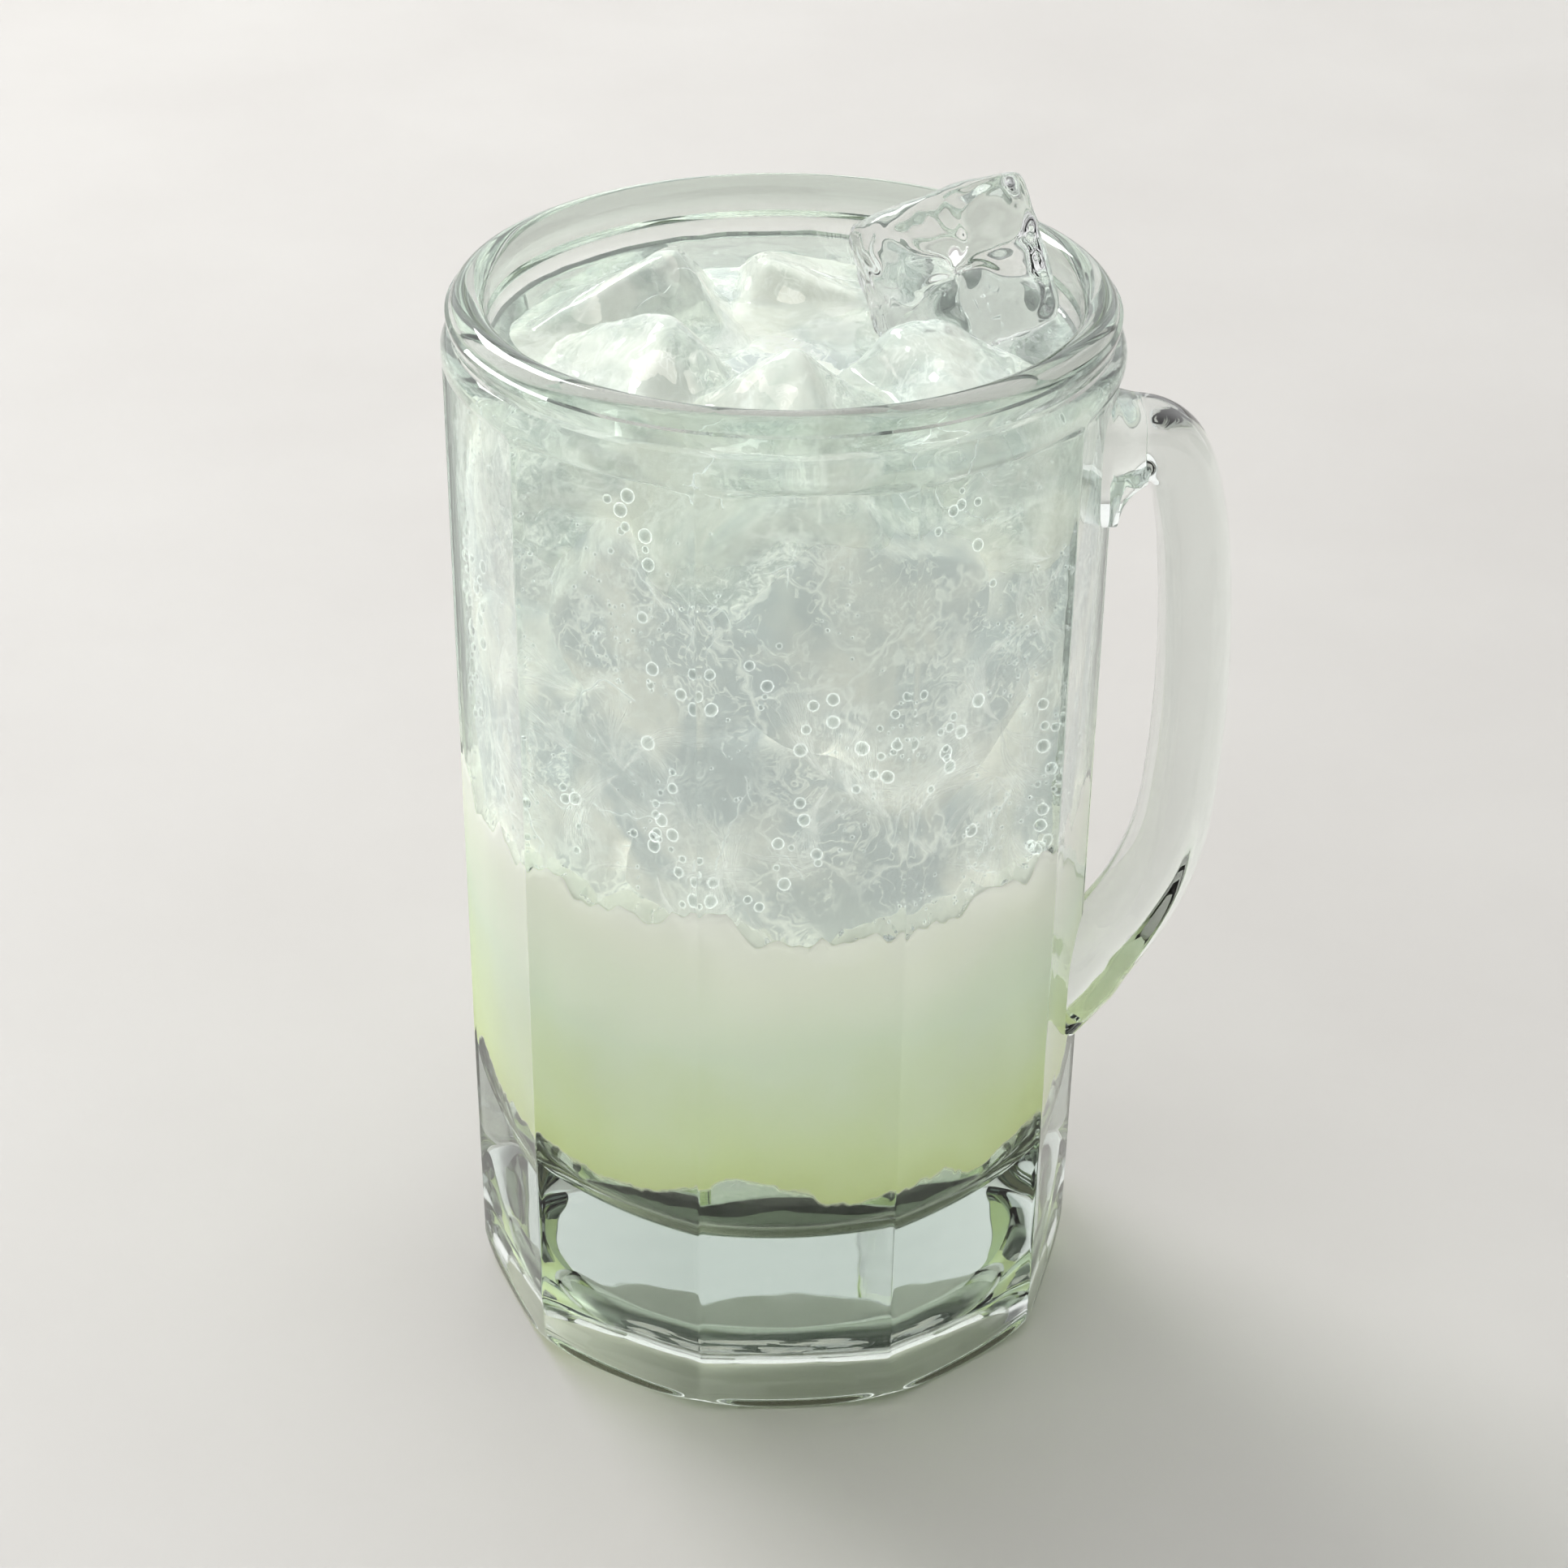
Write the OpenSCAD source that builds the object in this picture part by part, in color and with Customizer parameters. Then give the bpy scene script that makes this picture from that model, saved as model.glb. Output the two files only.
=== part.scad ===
// Panelled glass mug of iced lemonade: a pressed mug with ten flat panels, a round rim
// and one solid handle, filled with a green layer, a pale layer and ice.
// The mug's axis is Z, it stands on Z = 0, and the handle points along +X.

/* [Mug] */
// Height from the foot to the top of the rim
mug_h = 150; // [110:1:190]
// Radius to the panel corners at the top of the panels
corner_r_top = 44.3; // [36:0.1:54]
// Radius to the panel corners at the foot
corner_r_foot = 42.4; // [34:0.1:50]
// Number of flat panels
panels = 10; // [8:1:12]
// Thickness of the rim, which is fully round
rim_t = 4.8; // [3.5:0.1:6]
// How far the rim stands back from the panel corners
rim_step = 1.0; // [0.4:0.1:2]
// Wall thickness at the middle of a panel, low in the mug
wall_t = 4.4; // [3:0.1:6]
// Thickness of the solid base
base_t = 24; // [10:0.5:34]
// Radius where the cavity's floor meets its wall
floor_fillet = 10; // [3:0.5:16]
// Rounding of the foot's outer edge
foot_round = 4; // [1:0.5:8]
// Radius of the hollow under the base
punt_r = 36; // [20:0.5:36.5]
// Depth of the hollow under the base, as a share of the base's thickness
punt_share = 0.31; // [0.1:0.01:0.8]
// Radius of the round corner between the hollow's wall and its top, as a share of its depth
punt_round_share = 0.9; // [0.1:0.01:0.95]

/* [Collar] */
// Distance from the top of the rim down to the collar's widest ring
collar_drop = 8; // [6:0.5:14]
// Radius of the collar's round section
collar_bead = 2.4; // [1.5:0.1:4]

/* [Handle] */
// Width of the handle, across the grip
handle_w = 14; // [10:0.5:20]
// Thickness of the handle
handle_t = 9.3; // [7:0.1:11]
// Width of the handle's round edge, left free on each side of the fillet under the upper arm
handle_edge = 3.5; // [1:0.1:4]
// Distance from the top of the rim down to the middle of the upper arm
handle_drop = 22.4; // [18:0.1:40]
// Straight reach of the upper arm past the panel corner
handle_reach = 3.4; // [2:0.1:30]
// Fillet under the upper arm, against the mug
root_fillet = 5; // [2:0.5:8]

/* [Drink] */
// Distance from the top of the rim down to the drink's surface
level_drop = 8.5; // [5:0.5:40]
// Height of the boundary between the two layers
layer_z = 75.5; // [40:0.5:110]

/* [Ice] */
// Clearance round each piece of ice
ice_gap = 0.15; // [0.1:0.05:0.5]
// Depth of the dimple in the widest faces of a piece
dimple_depth = 0.8; // [0.2:0.1:2]
// Radius of that dimple at the face
dimple_r = 7; // [3:0.5:9]

/* [Hidden] */
$fn = 96;
eps = 0.01;

// The rim is a torus, and the wall under it ends inside that torus
rim_r = corner_r_top - rim_step;
rim_mid_r = rim_r - rim_t / 2;
rim_mid_z = mug_h - rim_t / 2;
collar_z = mug_h - collar_drop;
// The collar stands this much proud of the panel corners
collar_proud = 0.2;
// The neck between collar and rim starts inside the collar's bead and stands back this much
// from the rim's widest ring
neck_step = 0.9;
neck_z = collar_z - collar_bead / 2;
// The round end of the wall at the rim overhangs the cavity's wall by this
rim_overhang = 0.1;

// Distance from the axis to the middle of a panel at the foot
flat_r_foot = corner_r_foot * cos(180 / panels);
cavity_r_floor = flat_r_foot - wall_t;
cavity_r_top = rim_r - rim_t + rim_overhang;
cavity_z = base_t + floor_fillet;
punt_depth = base_t * punt_share;
punt_round = punt_depth * punt_round_share;
level_z = mug_h - level_drop;

// The handle's bends from the upper arm round to the lower arm: centre-line radius, angle
bends = [[5.7, 73], [60, 11], [188, 12], [42, 34.5]];
handle_z = mug_h - handle_drop;
// The handle's ends run into the wall to this radius
root_r = corner_r_foot - wall_t;

// Each piece of ice: its place, its size, and its tip (about X), lean (about Y) and turn
// (about Z). The place is an angle round the mug, the distance from the cavity's wall to the
// piece's middle, and the height over the drink's surface, so that the ice follows both.
ice_top_at = [[19, 14.4, 6.3], [23, 20, 21], [-28, -15, 2]];
ice_left_back_at = [[141.5, 13.4, -8.6], [27, 26, 22], [-20, -30, -4]];
ice_left_front_at = [[200, 15, -9.2], [27, 25, 22], [28, -30, -24]];
ice_front_at = [[264.5, 15.5, -11.6], [26, 24, 24], [30, -40, 6]];
ice_right_at = [[331.5, 12, -9.2], [26, 24, 22], [20, 30, 16]];
ice_back_at = [[79, 15.6, -9.6], [22, 20, 22], [-15, 20, 6]];
// In this order a piece gives way to those before it, as melting ice settles together
ICE = [ice_top_at, ice_left_back_at, ice_left_front_at, ice_front_at, ice_right_at, ice_back_at];
// A piece's corners are melted back to a sphere of this share of its longest side
melt = 0.69;

// Turned angle after the first n bends, and the centre line's place there
function turned(n) = n == 0 ? 0 : turned(n - 1) + bends[n - 1][1];
function bend_end(n) =
    n == 0 ? [corner_r_top + handle_reach, handle_z] : bend_place(n - 1, turned(n));
// The centre line's place in bend n where the turned angle is t
function bend_place(n, t) =
    bend_end(n) + bends[n][0] * [sin(t) - sin(turned(n)), cos(t) - cos(turned(n))];

// Centre line of the handle: radius, height and turned angle of each ring, wall to wall
function bend_steps(n) = ceil(bends[n][1] / 8);
function bend_angle(n, i) = turned(n) + bends[n][1] * i / bend_steps(n);
last_turn = turned(len(bends));
last_end = bend_end(len(bends));
lower_arm = (last_end[0] - root_r) / -cos(last_turn);
handle_path = concat(
    [[root_r, handle_z, 0], [bend_end(0)[0], handle_z, 0]],
    [for (n = [0 : len(bends) - 1], i = [1 : bend_steps(n)])
        let (t = bend_angle(n, i), at = bend_place(n, t)) [at[0], at[1], t]],
    [[root_r, last_end[1] - lower_arm * sin(last_turn), last_turn]]);

// A rectangle with round edges, as a superellipse: place k of ring_points round it
ring_points = 24;
squareness = 3.2;
function rounded(v) = sign(v) * pow(abs(v), 2 / squareness);
function section_point(k) =
    [handle_t / 2 * rounded(cos(360 * k / ring_points)),
     handle_w / 2 * rounded(sin(360 * k / ring_points))];

// The handle's section carried along its centre line
module handle_sweep() {
    rings = len(handle_path);
    points = [for (at = handle_path, k = [0 : ring_points - 1])
        let (p = section_point(k)) [at[0] + p[0] * sin(at[2]), p[1], at[1] + p[0] * cos(at[2])]];
    sides = [for (i = [0 : rings - 2], k = [0 : ring_points - 1])
        let (a = i * ring_points, next = (k + 1) % ring_points)
            [a + k, a + next, a + ring_points + next, a + ring_points + k]];
    first = [for (k = [ring_points - 1 : -1 : 0]) k];
    last = [for (k = [0 : ring_points - 1]) (rings - 1) * ring_points + k];
    polyhedron(points = points, faces = concat([first], sides, [last]));
}

module handle() {
    fillet_w = handle_w - 2 * handle_edge;
    handle_sweep();
    // The fillet in the corner under the upper arm
    translate([0, fillet_w / 2, handle_z - handle_t / 2]) rotate([90, 0, 0])
        linear_extrude(height = fillet_w) difference() {
            translate([root_r, -root_fillet])
                square([corner_r_top - root_r + root_fillet, root_fillet + handle_edge]);
            translate([corner_r_top + root_fillet, -root_fillet]) circle(r = root_fillet);
        }
}

// The panelled body, with the foot's edge rounded by a turned outline
module panelled_body() {
    outline_r = corner_r_top + collar_proud;
    foot_r = corner_r_foot - foot_round + eps;
    intersection() {
        cylinder(r1 = corner_r_foot, r2 = corner_r_top, h = collar_z, $fn = panels);
        rotate_extrude() {
            square([foot_r, mug_h]);
            translate([0, foot_round]) square([outline_r + foot_round, mug_h]);
            translate([foot_r, foot_round]) circle(r = foot_round);
        }
    }
}

// The cavity's radius at height z on its tapered wall
function cavity_radius(z) =
    cavity_r_floor + (cavity_r_top - cavity_r_floor) * (z - cavity_z) / (mug_h - cavity_z);

// The space inside the mug up to height top: a taper on a floor with a round corner
module cavity(top) {
    rotate_extrude() {
        polygon([[0, cavity_z], [cavity_r_floor, cavity_z], [cavity_radius(top), top], [0, top]]);
        translate([0, base_t]) square([cavity_r_floor - floor_fillet, floor_fillet + eps]);
        intersection() {
            translate([cavity_r_floor - floor_fillet, cavity_z]) circle(r = floor_fillet);
            translate([0, base_t]) square([cavity_r_floor, floor_fillet]);
        }
    }
}

// The hollow under the base, open downwards, with a round corner at its top
module punt() {
    corner_at = [punt_r - punt_round, punt_depth - punt_round];
    rotate_extrude() {
        translate([0, -punt_round]) square([punt_r, punt_depth]);
        square([corner_at[0], punt_depth]);
        translate(corner_at) circle(r = punt_round);
    }
}

module mug() {
    color("#dfe8e2", 0.5) union() {
        difference() {
            union() {
                panelled_body();
                translate([0, 0, neck_z]) cylinder(r = rim_r - neck_step, h = rim_mid_z - neck_z);
                rotate_extrude()
                    translate([corner_r_top + collar_proud - collar_bead, collar_z])
                        circle(r = collar_bead);
                handle();
            }
            cavity(mug_h + 1);
            punt();
        }
        rotate_extrude() translate([rim_mid_r, rim_mid_z]) circle(r = rim_t / 2);
    }
}

// A melted block of ice at its place, grown by grow on every side
module ice_form(at, grow = 0) {
    size = at[1];
    reach = max(size) * melt;
    dimple_ball = (pow(dimple_r, 2) + pow(dimple_depth, 2)) / (2 * dimple_depth);
    from_axis = cavity_radius(level_z) - at[0][1];
    translate([from_axis * cos(at[0][0]), from_axis * sin(at[0][0]), level_z + at[0][2]])
        rotate([0, 0, at[2][2]]) rotate([at[2][0], 0, 0]) rotate([0, at[2][1], 0])
            difference() {
                intersection() {
                    cube([size[0] + 2 * grow, size[1] + 2 * grow, size[2] + 2 * grow], center = true);
                    sphere(r = reach + grow);
                }
                if (grow == 0)
                    for (side = [-1, 1])
                        translate([0, side * (size[1] / 2 + dimple_ball - dimple_depth), 0])
                            sphere(r = dimple_ball);
            }
}

// Ice piece number n, which gives way to the mug's wall and to the pieces before it
module ice(n) {
    deepest = level_z - 1.5 * max(ICE[n][1]);
    color("#eef4f2", 0.6) difference() {
        intersection() {
            ice_form(ICE[n]);
            cylinder(r = cavity_radius(deepest) - ice_gap, h = 2 * mug_h);
        }
        for (i = [0 : 1 : n - 1]) ice_form(ICE[i], ice_gap);
    }
}

module lemonade_green() {
    color("#b9cf9a", 0.8) intersection() {
        cavity(mug_h);
        translate([0, 0, layer_z / 2]) cube([3 * corner_r_top, 3 * corner_r_top, layer_z], center = true);
    }
}

module lemonade_pale() {
    color("#c9d9d2", 0.7) difference() {
        cavity(level_z);
        translate([0, 0, layer_z / 2]) cube([3 * corner_r_top, 3 * corner_r_top, layer_z], center = true);
        for (at = ICE) ice_form(at, ice_gap);
    }
}

module ice_top() { ice(0); }
module ice_left_back() { ice(1); }
module ice_left_front() { ice(2); }
module ice_front() { ice(3); }
module ice_right() { ice(4); }
module ice_back() { ice(5); }

mug();
lemonade_green();
lemonade_pale();
ice_top();
ice_left_back();
ice_left_front();
ice_front();
ice_right();
ice_back();
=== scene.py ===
# Iced lemonade in a panelled glass mug: the looks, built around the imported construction.
# Shapes are worked out in millimetres in the construction's frame and put into meshes in metres.
import math

import bpy
import numpy as np
from mathutils import Matrix, Vector


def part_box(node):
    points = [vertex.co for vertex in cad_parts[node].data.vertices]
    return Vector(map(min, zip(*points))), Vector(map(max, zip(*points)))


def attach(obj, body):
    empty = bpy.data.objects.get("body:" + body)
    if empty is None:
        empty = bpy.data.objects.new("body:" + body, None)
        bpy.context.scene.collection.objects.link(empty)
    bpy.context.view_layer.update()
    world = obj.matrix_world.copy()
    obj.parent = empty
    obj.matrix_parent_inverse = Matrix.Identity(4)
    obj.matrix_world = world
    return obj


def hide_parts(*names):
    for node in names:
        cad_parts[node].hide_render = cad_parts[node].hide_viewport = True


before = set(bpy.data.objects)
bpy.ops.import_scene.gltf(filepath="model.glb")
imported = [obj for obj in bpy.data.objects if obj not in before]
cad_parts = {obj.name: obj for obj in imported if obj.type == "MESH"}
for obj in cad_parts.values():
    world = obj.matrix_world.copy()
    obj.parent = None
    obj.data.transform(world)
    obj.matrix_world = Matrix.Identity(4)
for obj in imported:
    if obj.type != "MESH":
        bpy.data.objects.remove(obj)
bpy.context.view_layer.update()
MM = 0.001


def box_mm(node):
    """Lowest and highest corner of a construction node, in millimetres."""
    low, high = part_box(node)
    return np.array(low) / MM, np.array(high) / MM


# ---------------------------------------------------------------- sizes, in millimetres
MUG_HIGH = box_mm("mug")[1]
MUG_H = MUG_HIGH[2]
COLLAR_R = MUG_HIGH[1]
LAYER_Z = box_mm("lemonade_green")[1][2]
LEVEL_Z = box_mm("lemonade_pale")[1][2]
FLOOR_Z = box_mm("lemonade_green")[0][2]

PANELS = 10
CORNER_R_TOP = COLLAR_R - 0.2
CORNER_R_FOOT = CORNER_R_TOP - 1.9
COLLAR_Z = MUG_H - 8.0
COLLAR_BEAD = 2.4
RIM_T = 4.8
RIM_R = CORNER_R_TOP - 1.0
NECK_R = RIM_R - 0.1
FOOT_ROUND = 4.0
PUNT_R = 36.0
PUNT_DEPTH = FLOOR_Z * 0.31
# The hollow's top bends down over this distance to its edge, in a quarter of an ellipse
PUNT_BEND = 12.0
PUNT_EDGE = 0.8
# The flat panels are pressed this much hollow at their middle
PANEL_HOLLOW = 0.2
# Height and half width of the raised line where two panels meet
ARRIS, ARRIS_WIDTH = 0.1, 0.4
WALL_T = 4.4
FLOOR_FILLET = 10.0
HALF_PANEL = math.pi / PANELS
CAVITY_Z = FLOOR_Z + FLOOR_FILLET
CAVITY_R_FLOOR = CORNER_R_FOOT * math.cos(HALF_PANEL) - WALL_T
CAVITY_R_TOP = RIM_R - RIM_T + 0.1
# Liquid reaches this far into the glass, so that no film of air shows between them
WETTING = 0.15
# Seeds for single pieces are drawn below this number
SEEDS = 1 << 30

HANDLE_W = 14.0
HANDLE_T = 9.3
HANDLE_Z = MUG_H - 22.4
HANDLE_START_R = CORNER_R_TOP + 3.4
HANDLE_ROOT_R = CORNER_R_FOOT - WALL_T
# Bends of the handle from the upper arm round to the lower arm: radius, angle in degrees
HANDLE_BENDS = ((5.7, 73), (60, 11), (188, 12), (42, 34.5))
SQUARENESS = 3.2
# Fillet under the upper arm, against the wall
ROOT_FILLET = 7.0
# Both arms swell this much at the wall, dying away over this distance
ROOT_FLARE, ROOT_FLARE_REACH = 1.0, 2.6


# ---------------------------------------------------------------- mesh helpers
def put_mesh(name, points_mm, faces):
    """A smooth shaded mesh object at the origin from points in millimetres and an array of faces."""
    mesh = bpy.data.meshes.new(name)
    mesh.from_pydata((np.asarray(points_mm) * MM).tolist(), [], [list(f) for f in faces])
    mesh.validate()
    mesh.shade_smooth()
    piece = bpy.data.objects.new(name, mesh)
    bpy.context.scene.collection.objects.link(piece)
    return piece


def ring_faces(rows, columns, first=0):
    """Quads between the rings of a grid whose columns close on themselves, in row order."""
    row, column = np.meshgrid(np.arange(rows - 1), np.arange(columns), indexing="ij")
    beside = (column + 1) % columns
    a = first + row * columns
    quads = np.stack([a + column, a + beside, a + columns + beside, a + columns + column], -1)
    return quads.reshape(-1, 4)


def closed_rings(grid):
    """Points and faces of a closed skin over rings grid[row, column], with a pole at each end."""
    rows, columns = grid.shape[:2]
    points = np.concatenate([grid.reshape(-1, 3), grid[:1].mean(1), grid[-1:].mean(1)])
    faces = ring_faces(rows, columns).tolist()
    start, end = rows * columns, rows * columns + 1
    here = np.arange(columns)
    beside = (here + 1) % columns
    faces += np.stack([np.full(columns, start), beside, here], 1).tolist()
    last = (rows - 1) * columns
    faces += np.stack([np.full(columns, end), last + here, last + beside], 1).tolist()
    return points, faces


def waves(points, wavelength, seed, count=14):
    """Smooth random field: the sum of cosines in random directions, about -1 to 1."""
    rng = np.random.default_rng(seed)
    ways = rng.normal(size=(count, points.shape[-1]))
    ways *= 2 * math.pi / wavelength / np.linalg.norm(ways, axis=1, keepdims=True)
    ways *= rng.uniform(0.6, 1.5, (count, 1))
    phases = rng.uniform(0, 2 * math.pi, count)
    return np.cos(points @ ways.T + phases).sum(-1) / math.sqrt(count * 1.2)


def smooth_max(a, b, soft):
    """The larger of a and b, with the step between them rounded over the width soft."""
    return np.maximum(a, b) + np.maximum(soft - np.abs(a - b), 0) ** 2 / (4 * soft)


def smooth_min(a, b, soft):
    """The smaller of a and b, with the step between them rounded over the width soft."""
    return -smooth_max(-a, -b, soft)


def arc(centre_r, centre_z, radius, start, end, count):
    """Points [r, z] of an arc in the section plane, angles in degrees from the outward direction."""
    turn = np.radians(np.linspace(start, end, count))
    return np.stack([centre_r + radius * np.cos(turn), centre_z + radius * np.sin(turn)], 1)


def line(r0, z0, r1, z1, count):
    """Points [r, z] of a straight line in the section plane."""
    share = np.linspace(0, 1, count)[:, None]
    return np.array([[r0, z0]]) * (1 - share) + np.array([[r1, z1]]) * share


def cavity_radius(z):
    """Radius of the tapered cavity wall at height z."""
    share = (z - CAVITY_Z) / (MUG_H - CAVITY_Z)
    return CAVITY_R_FLOOR + (CAVITY_R_TOP - CAVITY_R_FLOOR) * share


# ---------------------------------------------------------------- mug
def panel_angles(per_panel):
    """Angles round the mug, closer together near the panels' corners, which lie at 0."""
    share = (np.arange(per_panel) + 0.5) / per_panel * 2 - 1
    within = HALF_PANEL * np.sin(share * math.pi / 2)
    middles = HALF_PANEL * (2 * np.arange(PANELS) + 1)
    return (middles[:, None] + within[None, :]).ravel()


def panel_radius(angle, corner_r):
    """Distance from the axis to a ten-sided prism with softened corners, at each angle."""
    apothem = corner_r * math.cos(HALF_PANEL)
    offset = (angle % (2 * HALF_PANEL)) - HALF_PANEL
    hollowing = PANEL_HOLLOW * (1 - (offset / HALF_PANEL) ** 2)
    from_corner = (HALF_PANEL - np.abs(offset)) * corner_r
    arris = ARRIS * np.exp(-(from_corner / ARRIS_WIDTH) ** 2)
    near = apothem / np.cos(offset) - hollowing
    other = apothem / np.cos(2 * HALF_PANEL - np.abs(offset))
    return smooth_min(near, other, 0.25) + arris


def mug_body():
    """The mug without its handle: rings up the outside, over the rim and down the cavity.

    Outside, each ring is the softened ten-sided prism, cut back to the rounded foot and
    let out to the round collar bead, neck and rim. Inside, each ring is a circle.
    """
    angle = panel_angles(26)
    foot_r = CORNER_R_FOOT - FOOT_ROUND
    bend = arc(0, 0, 1, 90, 7, 40) * [PUNT_BEND, PUNT_DEPTH] + [PUNT_R - PUNT_BEND, 0]
    under = np.concatenate([
        line(1.0, PUNT_DEPTH, PUNT_R - PUNT_BEND, PUNT_DEPTH, 16),
        bend[1:],
        arc(PUNT_R + PUNT_EDGE, PUNT_EDGE, PUNT_EDGE, 180, 270, 10),
    ])
    hollow = np.stack([under[:, :1] * np.cos(angle), under[:, :1] * np.sin(angle),
                       under[:, 1:] + 0 * angle], -1)
    # Over the foot the outline lies outside every form, and only its heights count
    beyond, shoulder_z = COLLAR_R + 2, COLLAR_Z - 6
    outline = np.concatenate([
        line(PUNT_R + PUNT_EDGE, 0, foot_r, 0, 6)[1:],
        arc(foot_r, FOOT_ROUND, FOOT_ROUND, -90, 0, 20)[1:],
        line(CORNER_R_FOOT, FOOT_ROUND, beyond, shoulder_z, 60)[1:],
        line(beyond, shoulder_z, beyond, MUG_H - RIM_T / 2, 46)[1:],
    ])
    heights = outline[:, 1][:, None]
    taper = CORNER_R_FOOT + (CORNER_R_TOP - CORNER_R_FOOT) * heights / COLLAR_Z
    fading = np.maximum(heights - COLLAR_Z, 0) * 4
    prism = panel_radius(angle[None, :], taper) - fading
    bead_rise = COLLAR_BEAD ** 2 - (heights - COLLAR_Z) ** 2
    bead = COLLAR_R - COLLAR_BEAD + np.sqrt(np.maximum(bead_rise, 0))
    neck = np.where(heights > COLLAR_Z, NECK_R, 0)
    rim_mid_r, rim_mid_z = RIM_R - RIM_T / 2, MUG_H - RIM_T / 2
    rim_rise = (RIM_T / 2) ** 2 - (heights - rim_mid_z) ** 2
    rim_side = rim_mid_r + np.sqrt(np.maximum(rim_rise, 0))
    above = heights > COLLAR_Z
    round_part = np.where(bead_rise > 0, bead, 0)
    round_part = smooth_max(round_part, neck, 2.0)
    round_part = np.where(above, smooth_max(round_part, np.where(rim_rise > 0, rim_side, 0), 2.0),
                          round_part)
    radius = smooth_max(prism, round_part, 1.2)
    radius = np.where(heights < COLLAR_Z / 2,
                      smooth_min(prism, np.maximum(outline[:, :1], 0) + 0 * prism, 0.6), radius)
    flat_part = outline[:, :1] <= foot_r
    radius = np.where(flat_part & (heights < 1e-6), outline[:, :1] + 0 * prism, radius)
    radius = np.minimum(radius, COLLAR_R)
    outside = np.stack([radius * np.cos(angle), radius * np.sin(angle), heights + 0 * radius], -1)

    inner = np.concatenate([
        arc(rim_mid_r, rim_mid_z, RIM_T / 2, 6, 176, 34),
        line(rim_mid_r - RIM_T / 2 + 0.02, rim_mid_z - 1.2, CAVITY_R_FLOOR, CAVITY_Z, 50),
        arc(CAVITY_R_FLOOR - FLOOR_FILLET, CAVITY_Z, FLOOR_FILLET, 0, -90, 24)[1:],
        line(CAVITY_R_FLOOR - FLOOR_FILLET, FLOOR_Z, 1.0, FLOOR_Z, 14)[1:],
    ])
    inside = np.stack([inner[:, :1] * np.cos(angle), inner[:, :1] * np.sin(angle),
                       inner[:, 1:] + 0 * angle], -1)
    return put_mesh("mug_body", *closed_rings(np.concatenate([hollow, outside, inside])))


def handle_path(step):
    """The handle's centre line in its plane: radius, height and turned angle, wall to wall."""
    arm = HANDLE_START_R - HANDLE_ROOT_R
    places = [(HANDLE_ROOT_R + arm * i / 24, HANDLE_Z, 0.0) for i in range(25)]
    r, z, turned = HANDLE_START_R, HANDLE_Z, 0.0
    for radius, angle in HANDLE_BENDS:
        count = math.ceil(angle / step)
        for i in range(1, count + 1):
            t = math.radians(turned + angle * i / count)
            t0 = math.radians(turned)
            places.append((r + radius * (math.sin(t) - math.sin(t0)),
                           z + radius * (math.cos(t) - math.cos(t0)), math.degrees(t)))
        turned += angle
        r, z = places[-1][:2]
    back = (r - HANDLE_ROOT_R) / -math.cos(math.radians(turned))
    drop = math.sin(math.radians(turned))
    places += [(r - (r - HANDLE_ROOT_R) * i / 14, z - back * drop * i / 14, turned)
               for i in range(1, 15)]
    return np.array(places)


def mug_handle():
    """A superellipse section carried along the handle's centre line, flared where it meets the wall."""
    path = handle_path(2.5)
    turn = np.radians(path[:, 2])[:, None]
    around = np.linspace(0, 2 * math.pi, 56, endpoint=False)[None, :]
    corner = 2 / SQUARENESS
    across = np.sign(np.cos(around)) * np.abs(np.cos(around)) ** corner * HANDLE_T / 2
    along_y = np.sign(np.sin(around)) * np.abs(np.sin(around)) ** corner * HANDLE_W / 2
    wall_r = CORNER_R_FOOT + (CORNER_R_TOP - CORNER_R_FOOT) * path[:, 1:2] / COLLAR_Z
    away = np.maximum(path[:, :1] - wall_r, 0)
    flare = ROOT_FLARE * np.exp(-(away / ROOT_FLARE_REACH) ** 1.5)
    near_wall = np.clip(1 - away / ROOT_FILLET, 0, 1) * (path[:, 2:] == 0)
    fillet = ROOT_FILLET * (1 - np.sqrt(1 - near_wall ** 2))
    upper_arm = path[:, 1:2] > MUG_H / 2
    fillet = np.where(upper_arm & (across < 0), fillet, flare)
    across = across * (1 + fillet * 2 / HANDLE_T)
    along_y = along_y * (1 + flare * 2 / HANDLE_W)
    grid = np.stack([path[:, :1] + across * np.sin(turn), along_y + 0 * turn,
                     path[:, 1:2] + across * np.cos(turn)], -1)
    return put_mesh("mug_handle", *closed_rings(grid))


def outward(piece):
    """Turns a closed mesh's faces outwards."""
    mesh = piece.data
    points = np.zeros(len(mesh.vertices) * 3)
    mesh.vertices.foreach_get("co", points)
    points = points.reshape(-1, 3)
    mesh.calc_loop_triangles()
    corners = np.zeros(len(mesh.loop_triangles) * 3, np.int32)
    mesh.loop_triangles.foreach_get("vertices", corners)
    a, b, c = (points[corners.reshape(-1, 3)[:, i]] for i in range(3))
    if np.einsum("ij,ij->i", a, np.cross(b, c)).sum() < 0:
        mesh.flip_normals()
    return piece


def joined(base, other):
    """base united with other as one closed solid; other is used up."""
    modifier = base.modifiers.new("unite", "BOOLEAN")
    modifier.operation = "UNION"
    modifier.solver = "EXACT"
    modifier.object = other
    depsgraph = bpy.context.evaluated_depsgraph_get()
    solid = bpy.data.meshes.new_from_object(base.evaluated_get(depsgraph))
    base.modifiers.clear()
    base.data = solid
    bpy.data.objects.remove(other)
    return base


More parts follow.
